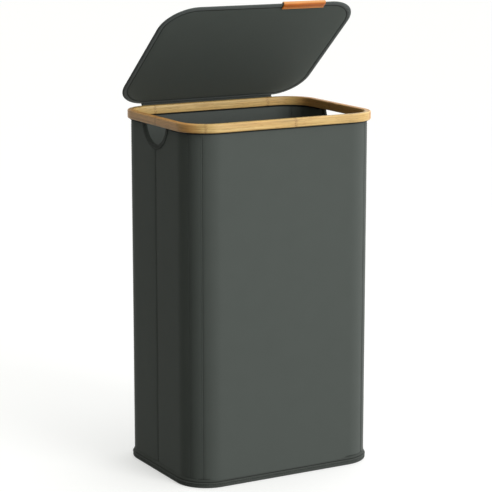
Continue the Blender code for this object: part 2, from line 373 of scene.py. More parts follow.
class Nodes:
    """A short way to lay out a material's nodes."""

    def __init__(self, name):
        self.material = bpy.data.materials.new(name)
        self.material.use_nodes = True
        self.tree = self.material.node_tree
        self.shader = self.tree.nodes["Principled BSDF"]

    def link(self, value, socket):
        """Feed a socket with another node's output or a constant."""
        if isinstance(value, bpy.types.NodeSocket):
            self.tree.links.new(value, socket)
        elif value is not None:
            socket.default_value = value

    def math(self, operation, a, b=None, c=None, clamp=False):
        """One Math node."""
        node = self.tree.nodes.new("ShaderNodeMath")
        node.operation = operation
        node.use_clamp = clamp
        for value, socket in zip((a, b, c), node.inputs):
            self.link(value, socket)
        return node.outputs[0]

    def uv(self):
        """The two surface distances, in metres."""
        coordinates = self.tree.nodes.new("ShaderNodeUVMap")
        coordinates.uv_map = "cloth"
        split = self.tree.nodes.new("ShaderNodeSeparateXYZ")
        self.tree.links.new(coordinates.outputs["UV"], split.inputs[0])
        return split.outputs[0], split.outputs[1]

    def point(self):
        """The object coordinates, in metres."""
        return self.tree.nodes.new("ShaderNodeTexCoord").outputs["Object"]

    def across(self):
        """The sideways distance from the middle of the object."""
        split = self.tree.nodes.new("ShaderNodeSeparateXYZ")
        self.link(self.point(), split.inputs[0])
        return split.outputs[0]

    def vector(self, x, y, z=0.0):
        """A vector from three values."""
        node = self.tree.nodes.new("ShaderNodeCombineXYZ")
        for value, socket in zip((x, y, z), node.inputs):
            self.link(value, socket)
        return node.outputs[0]

    def noise(self, where, scale, detail=2.0, roughness=0.5):
        """Smooth noise from 0 to 1."""
        node = self.tree.nodes.new("ShaderNodeTexNoise")
        self.link(where, node.inputs["Vector"])
        node.inputs["Scale"].default_value = scale
        node.inputs["Detail"].default_value = detail
        node.inputs["Roughness"].default_value = roughness
        return node.outputs["Fac"]

    def stretched(self, uv, along, across, detail=2.0, roughness=0.5):
        """Smooth noise with its own scale along and across the surface."""
        where = self.vector(self.math("MULTIPLY", uv[0], along), self.math("MULTIPLY", uv[1], across))
        return self.noise(where, 1.0, detail, roughness)

    def near(self, distance, reach):
        """1 at no distance, falling to 0 at the reach."""
        return self.math("SUBTRACT", 1.0, self.math("DIVIDE", distance, reach), clamp=True)

    def cells(self, where, scale):
        """Voronoi distances."""
        node = self.tree.nodes.new("ShaderNodeTexVoronoi")
        self.link(where, node.inputs["Vector"])
        node.inputs["Scale"].default_value = scale
        return node.outputs["Distance"]

    def ramp(self, value, *stops):
        """A colour ramp of (position, colour) stops."""
        node = self.tree.nodes.new("ShaderNodeValToRGB")
        self.link(value, node.inputs[0])
        elements = node.color_ramp.elements
        while len(elements) < len(stops):
            elements.new(0.5)
        for element, (position, colour) in zip(elements, stops):
            element.position = position
            element.color = (*colour, 1.0)
        return node.outputs[0]

    def shades(self, value, colour, dark, light, low=0.3, high=0.7):
        """One colour, from a darker shade to a lighter one."""
        return self.ramp(value, (low, scaled(colour, dark)), (high, scaled(colour, light)))

    def mix(self, share, a, b, blend="MIX"):
        """Mix two colours."""
        node = self.tree.nodes.new("ShaderNodeMix")
        node.data_type = "RGBA"
        node.blend_type = blend
        self.link(share, node.inputs[0])
        for value, socket in ((a, node.inputs[6]), (b, node.inputs[7])):
            self.link((*value, 1.0) if isinstance(value, tuple) else value, socket)
        return node.outputs[2]

    def bump(self, height, distance, strength=1.0, under=None):
        """A bump of that height in metres."""
        node = self.tree.nodes.new("ShaderNodeBump")
        node.inputs["Distance"].default_value = distance
        node.inputs["Strength"].default_value = strength
        self.link(height, node.inputs["Height"])
        if under is not None:
            self.link(under, node.inputs["Normal"])
        return node.outputs[0]

    def surface(self, colour, roughness, normal=None, sheen=0.0, specular=0.5):
        """Connect the shader and return the material."""
        self.link(colour, self.shader.inputs["Base Color"])
        self.link(roughness, self.shader.inputs["Roughness"])
        if normal is not None:
            self.link(normal, self.shader.inputs["Normal"])
        self.shader.inputs["Sheen Weight"].default_value = sheen
        self.shader.inputs["Sheen Roughness"].default_value = 0.45
        self.shader.inputs["Specular IOR Level"].default_value = specular
        return self.material


def scaled(colour, factor):
    """A colour made lighter or darker."""
    return tuple(min(1.0, channel * factor) for channel in colour)


def woven(name, colour, pitch=0.0009, depth=0.00012, sheen=0.06, fade=0.02):
    """Fine plain-weave polyester: warp over weft, uneven yarns and a faint mottling."""
    n = Nodes(name)
    u, v = n.uv()
    warp = n.math("SINE", n.math("MULTIPLY", u, math.pi / pitch))
    weft = n.math("SINE", n.math("MULTIPLY", v, math.pi / pitch))
    crossing = n.math("MULTIPLY", warp, weft)
    thread = n.math("POWER", n.math("ABSOLUTE", crossing), 0.6)
    where = n.vector(u, v)
    slub_u = n.stretched((u, v), 60.0, 900.0)
    slub_v = n.stretched((u, v), 900.0, 60.0)
    slub = n.math("MULTIPLY", n.math("ADD", slub_u, slub_v), 0.5)
    mottle = n.noise(where, 26.0, 3.0, 0.6)
    dark = n.mix(slub, scaled(colour, 0.80), scaled(colour, 1.02))
    light = n.mix(slub, scaled(colour, 1.02), scaled(colour, 1.30))
    yarn = n.mix(n.math("MULTIPLY_ADD", crossing, 0.5, 0.5), dark, light)
    pits = n.mix(thread, scaled(colour, 0.72), yarn)
    tone = n.ramp(mottle, (0.3, (1 - fade,) * 3), (0.7, (1 + fade,) * 3))
    shade = n.mix(1.0, pits, tone, "MULTIPLY")
    rough = n.math("MULTIPLY_ADD", slub, 0.16, 0.76)
    fine = n.bump(thread, depth, 0.8)
    loose = n.bump(n.noise(where, 120.0, 2.0), 0.00025, 0.35, under=fine)
    return n.surface(shade, rough, loose, sheen=sheen, specular=0.28)


def bamboo_wood(name, marks):
    """Bent laminated bamboo: long fibres, uneven strips, dark dashes and a broken node at each mark,
    with painted warm shade, redder on the hoop's left and right sides.
    """
    n = Nodes(name)
    u, v = n.uv()
    fibres = n.stretched((u, v), 16.0, 900.0, 3.0, 0.6)
    streaks = n.stretched((u, v), 4.0, 260.0, 2.0, 0.6)
    patches = n.stretched((u, v), 9.0, 40.0, 2.0, 0.6)
    dashes = n.stretched((u, v), 70.0, 700.0, 1.0, 0.6)
    strips = ((0.28, (0.52, 0.315, 0.105)), (0.50, (0.685, 0.460, 0.170)), (0.74, (0.80, 0.595, 0.265)))
    base = n.ramp(streaks, *strips)
    warm = n.mix(n.ramp(patches, (0.40, (0.0,) * 3), (0.75, (0.50,) * 3)), base, (0.64, 0.355, 0.110))
    grain = n.ramp(fibres, (0.30, (0.68,) * 3), (0.52, (1.0,) * 3), (0.8, (1.12,) * 3))
    colour = n.mix(1.0, warm, grain, "MULTIPLY")
    specks = n.ramp(dashes, (0.30, (0.66, 0.58, 0.50)), (0.42, (1.0, 1.0, 1.0)))
    colour = n.mix(0.8, colour, n.mix(1.0, colour, specks, "MULTIPLY"))
    nodes = 0.0
    wander = n.math("MULTIPLY_ADD", n.noise(n.vector(v, v), 420.0, 1.0), 0.009, -0.0045)
    for mark in marks:
        away = n.math("ABSOLUTE", n.math("ADD", n.math("SUBTRACT", u, mark), wander))
        nodes = n.math("MAXIMUM", nodes, n.near(away, 0.0042))
    flecks = n.stretched((u, v), 500.0, 900.0, 1.0)
    broken = n.math("MULTIPLY", nodes, n.ramp(flecks, (0.46, (0.0,) * 3), (0.56, (1.0,) * 3)))
    colour = n.mix(n.math("MULTIPLY", broken, 0.9), colour, (0.26, 0.105, 0.030))
    # Painted warm shade: towards the hoop's left and right sides the wood is tinted redder, standing in
    # for the warmer light in the shade on those faces.
    sideways = n.math("ABSOLUTE", n.across())
    end = n.math("DIVIDE", n.math("SUBTRACT", sideways, RIM_HIGH.x - 0.028), 0.020, clamp=True)
    painted_warm_shade = n.mix(1.0, colour, (1.08, 0.84, 0.68), "MULTIPLY")
    colour = n.mix(end, colour, painted_warm_shade)
    rough = n.math("MULTIPLY_ADD", fibres, 0.18, 0.36)
    height = n.math("ADD", n.math("MULTIPLY", fibres, 0.6), n.math("MULTIPLY", broken, -0.6))
    return n.surface(colour, rough, n.bump(height, 0.00018, 0.6), specular=0.40)


def leather_skin(name, colour, length):
    """Full-grain leather: pebbled, with darker creases, worn lighter along its edges, and a painted
    highlight as a lighter band along its fold.
    """
    n = Nodes(name)
    where = n.point()
    _, v = n.uv()
    pebbles = n.cells(where, 900.0)
    pores = n.noise(where, 2600.0, 2.0)
    clouds = n.noise(where, 55.0, 3.0)
    shade = n.shades(clouds, colour, 0.88, 1.10)
    shade = n.mix(n.ramp(pebbles, (0.0, (0.0,) * 3), (0.6, (0.25,) * 3)), shade, scaled(colour, 0.62))
    # Painted highlight: a lighter band along the fold stands in for light caught on the tab's rounded
    # nose; the lighter rims at the raw edges are wear.
    from_fold = n.math("ABSOLUTE", n.math("SUBTRACT", v, length / 2))
    painted_fold_highlight = n.near(from_fold, 0.0034)
    from_edge = n.math("SUBTRACT", length / 2, from_fold)
    rubbed = n.near(from_edge, 0.0013)
    patchy = n.math("MULTIPLY_ADD", clouds, 0.6, 0.45)
    wear_and_painted_highlight = n.math("MULTIPLY", n.math("MAXIMUM", painted_fold_highlight, rubbed), patchy)
    shade = n.mix(n.math("MULTIPLY", wear_and_painted_highlight, 0.85), shade, LEATHER_CUT_AND_HIGHLIGHT)
    rough = n.math("MULTIPLY_ADD", pores, 0.2, 0.34)
    height = n.math("ADD", n.math("MULTIPLY", pebbles, -1.0), n.math("MULTIPLY", pores, 0.3))
    return n.surface(shade, rough, n.bump(height, 0.00018, 0.6), specular=0.4)


def leather_edge(name, colour):
    """The cut edge of the leather: paler, fibrous and matt."""
    n = Nodes(name)
    fuzz = n.noise(n.point(), 1500.0, 3.0)
    shade = n.shades(fuzz, colour, 0.75, 1.1)
    return n.surface(shade, 0.8, n.bump(fuzz, 0.0002, 0.6))


def thread(name, colour):
    """Twisted polyester sewing thread."""
    n = Nodes(name)
    twist = n.noise(n.point(), 3000.0, 1.0)
    shade = n.shades(twist, colour, 0.8, 1.2)
    return n.surface(shade, 0.6, n.bump(twist, 0.0001, 0.5), sheen=0.15)


def moulded_board(name, colour):
    """Grey stiffening board with a fine pebbled press finish."""
    n = Nodes(name)
    pebble = n.noise(n.point(), 1400.0, 2.0)
    cloud = n.noise(n.point(), 30.0, 2.0)
    shade = n.shades(cloud, colour, 0.93, 1.06)
    rough = n.math("MULTIPLY_ADD", pebble, 0.2, 0.55)
    return n.surface(shade, rough, n.bump(pebble, 0.0001, 0.5))


def fibre_board(name, colour):
    """Pressed wood fibre, speckled."""
    n = Nodes(name)
    specks = n.cells(n.point(), 700.0)
    fuzz = n.noise(n.point(), 900.0, 4.0, 0.7)
    shade = n.shades(fuzz, colour, 0.7, 1.3, 0.25, 0.75)
    shade = n.mix(n.ramp(specks, (0.0, (0.5,) * 3), (0.3, (0.0,) * 3)), shade, scaled(colour, 0.5))
    return n.surface(shade, 0.85, n.bump(fuzz, 0.0002, 0.5))


WALL_GREEN = (0.081, 0.093, 0.085)
HEM_GREEN = (0.057, 0.065, 0.059)
LINING_GREEN = (0.097, 0.109, 0.101)
TAPE_GREEN = (0.020, 0.025, 0.021)
BORDER_GREEN = (0.100, 0.115, 0.110)
# Pale green for the cords on the lid roll's crest: painted highlight.
HIGHLIGHT_GREEN = (0.155, 0.178, 0.172)
# Near-black for the dark cords laid in grooves and under the hoop: painted shadow.
SHADOW_BLACK = (0.007, 0.008, 0.007)
LID_GREEN = (0.083, 0.099, 0.088)
THREAD_GREEN = (0.036, 0.043, 0.038)
LEATHER_TAN = (0.62, 0.150, 0.004)
# Pale tan of the raw cut edge, also the colour of the painted highlight along the tab's fold.
LEATHER_CUT_AND_HIGHLIGHT = (0.88, 0.50, 0.17)
BAMBOO_MARKS = (
    0.125,
    RIM.side(0) + 0.010,
    RIM.corner(1, math.radians(63)),
    RIM.side(1) + 0.013,
    RIM.corner(2, math.radians(42)),
    RIM.side(2) + 0.020,
    RIM.length - 0.120,
)

wall_cloth = woven("wall_cloth", WALL_GREEN, sheen=0.10)
hem_cloth = woven("hem_cloth", HEM_GREEN, pitch=0.0008)
border_cloth = woven("border_cloth", BORDER_GREEN, pitch=0.0008)
# Cloth of the pale crest cords: painted highlight.
painted_highlight_piping = woven("painted_highlight_piping", HIGHLIGHT_GREEN, pitch=0.0006)
# Cloth of the dark cords: painted shadow along grooves and gaps.
painted_shadow_cloth = woven("painted_shadow_cloth", SHADOW_BLACK, pitch=0.0006, sheen=0.02)
lining_cloth = woven("lining_cloth", LINING_GREEN, pitch=0.0008, sheen=0.05)
tape_cloth = woven("tape_cloth", TAPE_GREEN, pitch=0.0007, sheen=0.05)
lid_cloth = woven("lid_cloth", LID_GREEN)
seam_thread = thread("seam_thread", THREAD_GREEN)
tan_thread = thread("tan_thread", (0.62, 0.33, 0.14))
bamboo = bamboo_wood("bamboo", BAMBOO_MARKS)
cut_leather = leather_edge("cut_leather", LEATHER_CUT_AND_HIGHLIGHT)
grey_board = moulded_board("grey_board", (0.42, 0.42, 0.40))
base_fibre = fibre_board("base_fibre", (0.36, 0.25, 0.15))


# Wall


def nearest(value, marks):
    """Distance to the nearest mark."""
    return min(abs(value - mark) for mark in marks)


def seam_relief(s, z, depth):
    """How far the cloth stands out: crowned panels, a groove along each seam and small puckers."""
    away = nearest(s, WALL_SEAMS)
    groove = -depth * math.exp(-((away / 0.0013) ** 2))
    swell = 0.0006 * (1 - math.exp(-away / 0.010))
    pucker = 0.00016 * math.sin(z * math.tau / 0.0105 + 2.0 * noise.noise(Vector((s * 9, z * 9, 0))))
    pucker *= math.exp(-away / 0.005)
    wave = 0.0003 * noise.noise(Vector((s * 7.0, z * 3.0, 4.0)))
    wave += 0.00012 * noise.noise(Vector((s * 30.0, z * 14.0, 9.0)))
    return groove + swell + pucker + wave


def ends_held(z, low, high, reach=0.012):
    """0 where the cloth is gripped at its two ends, 1 away from them."""
    share = min((z - low) / reach, (high - z) / reach)
    share = min(max(share, 0.0), 1.0)
    return share * share * (3 - 2 * share)


def in_hand_hole(s, z, radius):
    """Whether a point of the wall lies in one of the half-round hand holes."""
    return min(math.hypot(s - side, z - HANDLE_HEIGHT) for side in SIDE_SEAMS) < radius


def round_hand_holes(piece, radius):
    """Move the ragged edge of each hand hole onto its circle."""
    bm = bmesh.new()
    bm.from_mesh(piece.data)
    for vert in bm.verts:
        if not vert.is_boundary or vert.co.z > HANDLE_HEIGHT - 0.001:
            continue
        away = math.hypot(vert.co.y, vert.co.z - HANDLE_HEIGHT)
        if abs(vert.co.x) > BODY.width / 2 - 0.01 and radius - 0.001 < away < radius + 0.009:
            vert.co.y *= radius / away
            vert.co.z = HANDLE_HEIGHT + (vert.co.z - HANDLE_HEIGHT) * radius / away
    bm.to_mesh(piece.data)
    bm.free()


def build_wall(name, outline_inset, low, high, material, inwards):
    """One cloth layer of the wall, from the foot up to its top edge at the rim."""
    along = BODY.stations(0.006, 0.0035, WALL_SEAMS, (0.0, 0.0012, 0.003, 0.006))
    across = spread(low, SEAM_TOP - 0.060, 0.006) + spread(SEAM_TOP - 0.060, high, 0.0035)[1:]
    edge = HANDLE_RADIUS + 0.0016

    def place(s, z):
        relief = seam_relief(s, z, 0.0006 if inwards else 0.0003) * ends_held(z, low, SEAM_TOP)
        point, _ = BODY.at(s, outline_inset + relief if inwards else outline_inset - relief)
        return Vector((point.x, point.y, z))

    def in_hole(s, z):
        return in_hand_hole(s, z, edge)

    piece = grid(name, along, across, place, [material], wrap=True, drop=in_hole)
    round_hand_holes(piece, edge)
    thicken(piece, CLOTH, 1.0 if inwards else -1.0)
    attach(piece, "body")
    return piece


def wall_seam_stitches(name, inset, low, facing):
    """Twin rows of stitches down each vertical seam of the wall."""
    spots = []
    for seam in WALL_SEAMS:
        top = SEAM_TOP
        if nearest(seam, SIDE_SEAMS) < 0.001:
            top = HANDLE_HEIGHT - HANDLE_RADIUS - 0.011
        for offset in (-TWIN_ROWS, TWIN_ROWS):
            for z in spread(low, top, STITCH_PITCH):
                point, normal = BODY.at(seam + offset, inset)
                centre = Vector((point.x, point.y, z))
                spots.append((centre, Vector((0, 0, 1)), Vector((normal.x, normal.y, 0)) * facing))
    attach(stitches(name, spots, seam_thread), "body")


outer = build_wall("outer_sleeve_cloth", 0.0, WALL_LOW.z, WALL_HIGH.z, wall_cloth, False)
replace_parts(outer, "outer_sleeve")
lining = build_wall("lining_wall_cloth", WALL, LINING_LOW.z + CLOTH, LINING_HIGH.z, lining_cloth, True)
wall_seam_stitches("outer_seam_stitches", -0.0001, HEM_HIGH.z + 0.002, 1)
wall_seam_stitches("lining_seam_stitches", WALL + 0.0001, LINING_LOW.z + 0.01, -1)


def build_lining_floor():
    """The bottom of the lining, laid flat on the base board with a turned-in seam round it."""
    inset = WALL + 0.0003
    rings = (0.0, 0.003, 0.006, 0.012, 0.022, 0.040, 0.056)
    top = LINING_LOW.z + CLOTH

    def height(point, s, from_outline):
        ring = from_outline - inset
        swell = 0.0011 * math.exp(-(((ring - 0.003) / 0.0022) ** 2))
        ripple = 0.0005 * noise.noise(Vector((point.x * 18, point.y * 18, 3))) * min(1, ring / 0.02)
        return top + swell + max(ripple, 0.0)

    insets = [inset + ring for ring in rings]
    stations = BODY.stations(0.010, 0.006)[:-1]
    piece = disc("lining_floor_cloth", BODY, insets, stations, height, lining_cloth, 1)
    thicken(piece, CLOTH * 0.9)
    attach(piece, "body")
    return piece


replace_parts(build_lining_floor(), "inner_lining")
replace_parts(lining, "inner_lining")


# Rim


def build_rim():
    """The bamboo hoop, softly rounded on all its edges and flat underneath."""
    low, high = RIM_LOW.z, RIM_HIGH.z
    r, inner = RIM_ROUNDING, RIM_THICKNESS
    profile = arc((r, low + r), r, 270, 180, 4)
    profile += arc((r, high - r), r, 180, 90, 5)
    profile += arc((inner - r, high - r), r, 90, 0, 5)
    profile += arc((inner - 0.001, low + 0.001), 0.001, 0, -90, 3)
    profile += [(0.006, low)]
    piece = sweep("bamboo_rim", RIM, RIM.stations(0.006, 0.003), profile, [bamboo])
    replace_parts(piece, "bamboo_rim_ring")
    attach(piece, "body")


def cut_at_hand_holes(piece):
    """Take out the stretches of a piece that would cross the hand holes."""
    bm = bmesh.new()
    bm.from_mesh(piece.data)
    half = HANDLE_RADIUS + 0.010
    gone = [v for v in bm.verts if abs(v.co.y) < half and abs(v.co.x) > BODY.width / 2 - 0.02]
    bmesh.ops.delete(bm, geom=gone, context="VERTS")
    edges = [edge for edge in bm.edges if edge.is_boundary]
    bmesh.ops.holes_fill(bm, edges=edges, sides=12)
    bm.to_mesh(piece.data)
    bm.free()


def build_rim_cords():
    """A dark cord tucked under the hoop, outside and inside, that closes the gap round the wall; it is
    painted shadow, standing in for the shade under the hoop.
    """
    height = RIM_LOW.z - 0.0013
    runs = [(BODY, -0.0013, height), (BODY, WALL + 0.0013, height)]
    cut_at_hand_holes(cord("rim_shadow_cord", runs, 0.0012, painted_shadow_cloth, "body"))


build_rim()
build_rim_cords()


# Hand holes


def on_hand_hole(x, radius, turn):
    """A point on a circle round a hand hole's centre."""
    return Vector((x, radius * math.cos(turn), HANDLE_HEIGHT + radius * math.sin(turn)))


def build_hand_hole_tape(name, node, side):
    """The folded tape round a hand hole, with rounded folds and a row of stitches."""
    low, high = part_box(node)
    outside = high.x if side > 0 else -low.x
    inside = low.x if side > 0 else -high.x
    fold = 0.0011
    margin = HANDLE_RADIUS + TAPE_WIDTH
    above = HANDLE_HEIGHT - high.z
    profile = [(inside + 0.0002, margin)]
    profile += arc((inside + fold, HANDLE_RADIUS + fold), fold, 180, 270, 4)
    profile += arc((outside - fold, HANDLE_RADIUS + fold), fold, 270, 360, 4)
    profile += [(outside + 0.0002, HANDLE_RADIUS + TAPE_WIDTH * 0.5), (outside, margin)]
    profile += [(outside - 0.0007, margin - 0.0002)]
    profile += [(outside - 0.0007, HANDLE_RADIUS + fold), (inside + 0.0007, HANDLE_RADIUS + fold)]
    profile += [(inside + 0.0007, margin)]
    steps = 48
    rows = []
    for step in range(steps + 1):
        row = []
        for x, radius in profile:
            drop = math.asin(min(1.0, above / radius))
            turn = math.pi + drop + (math.pi - 2 * drop) * step / steps
            row.append(on_hand_hole(side * x, radius, turn))
        rows.append(row)
    piece = loft(name, rows, lambda i, j: (i * 0.003, j * 0.0016), [tape_cloth], sharp=50)
    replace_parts(piece, node)
    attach(piece, "body")
    spots = []
    radius = margin - 0.0022
    count = int(math.pi * radius / STITCH_PITCH)
    clear = 1.3 * math.asin(above / margin)
    for face_x, facing in ((outside + 0.0001, side), (inside - 0.0001, -side)):
        for index in range(count):
            turn = math.pi + clear + (math.pi - 2 * clear) * (index + 0.5) / count
            centre = on_hand_hole(side * face_x, radius, turn)
            direction = Vector((0, -math.sin(turn), math.cos(turn)))
            spots.append((centre, direction, Vector((facing, 0, 0))))
    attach(stitches(name + "_stitches", spots, seam_thread), "body")


build_hand_hole_tape("left_hand_hole_tape", "left_handle_binding", -1)
build_hand_hole_tape("right_hand_hole_tape", "right_handle_binding", 1)


# Foot


def build_hem():
    """The flared foot: a bound band with a stitched channel, under the spreading foot of the wall."""
    inner = BASE.width / 2 - BODY.width / 2 - 0.0004
    outside = (
        (0.0, 3.6), (0.25, 4.5), (0.9, 5.1), (0.9, 5.6), (0.3, 6.2), (0.1, 7.3), (0.2, 8.7), (0.7, 9.7),
        (1.6, 10.2), (2.5, 10.4), (2.5, 10.9), (1.7, 11.3), (1.7, 12.0), (2.3, 13.6), (3.1, 15.2),
        (3.8, 16.6), (4.1, 17.2),
    )
    profile = [(inner, 0.0004), (inner - 0.0008, 0.0)]
    profile += arc((0.0022, 0.0022), 0.0022, 270, 180, 5)
    profile += [(inset / 1000, height / 1000) for inset, height in outside]
    profile += [(inner, 0.0170)]
    piece = sweep("hem_band_cloth", BASE, BASE.stations(0.006, 0.0035), profile, [hem_cloth])
    keep_outside_wall(piece)
    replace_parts(piece, "hem_band")
    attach(piece, "body")
    spots = outline_spots(BASE, 0.0006, 0.0054, 0.0) + outline_spots(BASE, 0.00005, 0.0084, 0.0)
    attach(stitches("hem_stitches", spots, seam_thread), "body")
    # Painted shadow: a dark cord in the band's upper groove darkens the groove's line.
    cord("hem_groove_shadow_cord", [(BASE, 0.0019, 0.0107)], 0.0006, painted_shadow_cloth, "body")


def body_edge(x, y):
    """How far a point lies inside the body outline, and the outline's outward direction near it."""
    inside_x, inside_y = BODY.width / 2 - abs(x), BODY.depth / 2 - abs(y)
    over_x, over_y = BODY_RADIUS - inside_x, BODY_RADIUS - inside_y
    if over_x > 0 and over_y > 0:
        direction = Vector((math.copysign(over_x, x), math.copysign(over_y, y))).normalized()
        return BODY_RADIUS - math.hypot(over_x, over_y), direction
    if inside_x < inside_y:
        return inside_x, Vector((math.copysign(1, x), 0))
    return inside_y, Vector((0, math.copysign(1, y)))


def keep_outside_wall(piece):
    """Keep the hem's inner edge off the wall, whose corners have a radius of their own."""
    clearance = 0.0004
    for vert in piece.data.vertices:
        depth, direction = body_edge(vert.co.x, vert.co.y)
        push = depth + clearance
        if push > 0:
            vert.co.x += direction.x * push
            vert.co.y += direction.y * push


def build_base_cloth():
    """The cloth under the base, drawn tight with a stitched margin."""
    margin = 0.0095
    insets = (0.0002, 0.001, 0.008, margin, 0.011, 0.020, 0.040, 0.056)

    def height(point, s, inset):
        return 0.0003 * math.exp(-(((inset - margin) / 0.001) ** 2))

    stations = BODY.stations(0.010, 0.006)[:-1]
    piece = disc("base_underside_cloth", BODY, insets, stations, height, lining_cloth, -1)
    thicken(piece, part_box("base_cloth")[1].z * 0.9)
    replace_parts(piece, "base_cloth")
    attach(piece, "body")
    spots = outline_spots(BODY, margin, 0.00025, -1.0)
    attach(stitches("base_stitches", spots, seam_thread), "body")


build_hem()
build_base_cloth()


# Lid


def lid_face(name, node, level, facing, material):
    """One cloth face of the lid, gently crowned and tucked under the border all round."""
    tuck = LID_BORDER - 0.0003
    rings = (0.0, 0.0008, 0.002, 0.004, 0.008, 0.016, 0.030, 0.048, 0.0535)

    def height(point, s, inset):
        ring = inset - tuck
        rise = 0.0006 * (1 - math.exp(-ring / 0.004)) - 0.0004
        rise += 0.0002 * noise.noise(Vector((point.x * 12, point.y * 12, facing))) * min(1, ring / 0.02)
        pucker = 0.00012 * math.sin(s * math.tau / 0.011) * math.exp(-ring / 0.004)
        return level + facing * (rise + pucker)

    insets = [tuck + ring for ring in rings]
    stations = LID.stations(0.008, 0.005)[:-1]
    piece = disc(name, LID, insets, stations, height, material, facing, LID_PLACE)
    thicken(piece, CLOTH * 0.8)
    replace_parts(piece, node)
    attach(piece, "lid")
    return piece


def build_lid_border():
    """The rolled border of the lid: a plump roll with a sewn channel inside it on each face."""
    middle = LID_MIDDLE
    half_roll = (
        (9.7, 1.35), (9.2, 1.40), (8.7, 1.60), (8.1, 1.85), (7.2, 2.00), (6.0, 2.12), (4.8, 2.16),
        (3.6, 2.10), (2.5, 1.86), (1.5, 1.46), (0.8, 1.00), (0.3, 0.52),
    )
    under = [(inset / 1000, middle - rise / 1000) for inset, rise in half_roll]
    over = [(inset, 2 * middle - height) for inset, height in under[::-1]]
    high, low = middle + 0.0012, middle - 0.0012
    within = [(0.0094, high), (0.0012, high), (0.0012, low), (0.0094, low)]
    profile = under + [(0.0, middle)] + over + within
    stations = LID.stations(0.006, 0.0035)
    piece = sweep("lid_border_cloth", LID, stations, profile, [border_cloth], LID_PLACE)
    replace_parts(piece, "lid_edge_binding")
    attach(piece, "lid")
    below = outline_spots(LID, 0.0074, middle - 0.0016, -1.0)
    above = outline_spots(LID, 0.0074, middle + 0.0016, 1.0)
    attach(stitches("lid_border_stitches", below + above, seam_thread, LID_PLACE), "lid")
    # Painted highlight: pale cords on the roll's crest, above and below, stand in for light caught along
    # the crest.
    crest = [(LID, 0.0046, middle + 0.0018 * facing) for facing in (-1, 1)]
    # Painted shadow: dark cords in the grooves between the panels and the roll darken the grooves'
    # lines.
    groove = [(LID, 0.0093, middle + 0.0016 * facing) for facing in (-1, 1)]
    cord("lid_highlight_piping", crest, 0.0005, painted_highlight_piping, "lid", LID_PLACE)
    cord("lid_groove_shadow_cord", groove, 0.0006, painted_shadow_cloth, "lid", LID_PLACE)


underside = lid_face("lid_underside_panel", "lid_underside_cloth", LID_LOW, -1, lid_cloth)
top_panel = lid_face("lid_top_panel", "lid_top_cloth", LID_LOW + LID_THICKNESS, 1, wall_cloth)
build_lid_border()


def smooth_line(points, step, rounds=3):
    """A bent line with its corners cut round and then spaced evenly."""
    line = [Vector(point) for point in points]
    for _ in range(rounds):
        cut = [line[0]]
        for a, b in zip(line, line[1:]):
            cut += [a.lerp(b, 0.25), a.lerp(b, 0.75)]
        line = cut + [line[-1]]
    distances = [0.0]
    for a, b in zip(line, line[1:]):
        distances.append(distances[-1] + (b - a).length)
    spaced = []
    index = 0
    for target in spread(0.0, distances[-1], step):
        while index < len(line) - 2 and distances[index + 1] < target:
            index += 1
        span = max(distances[index + 1] - distances[index], 1e-9)
        spaced.append(line[index].lerp(line[index + 1], (target - distances[index]) / span))
    return spaced


def row_spots(reach, places, facing):
    """Stitch places in straight rows from side to side, a row at each (y, z) place."""
    spots = []
    for y, z in places:
        for x in spread(-reach, reach, STITCH_PITCH):
            spots.append((Vector((x, y, z)), Vector((1, 0, 0)), Vector(facing)))
    return spots


def build_hinge_strip():
    """One strip of cloth, sewn to the back wall and to the lid, that bends at the hinge line."""
    back = STRIP_LOW.y + 0.0006
    bend_z = 0.647
    step = 0.0016
    lid_rear, lid_high = LID_BACK + 0.0009, LID_LOW + LID_THICKNESS + 0.0016
    on_lid = [(lid_rear, LID_LOW - 0.001), (lid_rear, lid_high), (LID_BACK - 0.021, lid_high)]
    line = [(back, STRIP_LOW.z), (back, bend_z - 0.01), (back, bend_z), (PIVOT.y, PIVOT.z)]
    for y, z in on_lid:
        point = LID_PLACE @ Vector((0, y, z))
        line.append((point.y, point.z))
    path = smooth_line(line, step)
    half = STRIP_HIGH.x
    along = spread(-half, half, 0.004)
    across = [index * step for index in range(len(path))]

    def place(x, distance):
        index = round(distance / step)
        point = path[index]
        forward = (path[min(len(path) - 1, index + 1)] - path[max(0, index - 1)]).normalized()
        normal = Vector((forward.y, -forward.x))
        free = math.exp(-(((distance - 0.062) / 0.009) ** 2))
        ripple = 0.0005 * noise.noise(Vector((x * 26, distance * 30, 0))) * free
        shift = point + normal * ripple
        return Vector((x, shift.x, shift.y))

    piece = grid("hinge_strip_cloth", along, across, place, [hem_cloth])
    thicken(piece, 0.0009, 0.0)
    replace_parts(piece, "hinge_strip_body", "hinge_strip_lid")
    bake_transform(piece)
    on_wall = [(back + 0.0005, STRIP_LOW.z + rise) for rise in (0.003, 0.030)]
    rows = row_spots(half - 0.004, on_wall, (0, 1, 0))
    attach(stitches("hinge_strip_stitches", rows, seam_thread), "body")
    on_top = [(LID_BACK - inset, lid_high + 0.0005) for inset in (0.018, 0.004)]
    rows = row_spots(half - 0.004, on_top, (0, 0, 1))
    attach(stitches("hinge_lap_stitches", rows, seam_thread, LID_PLACE), "lid")


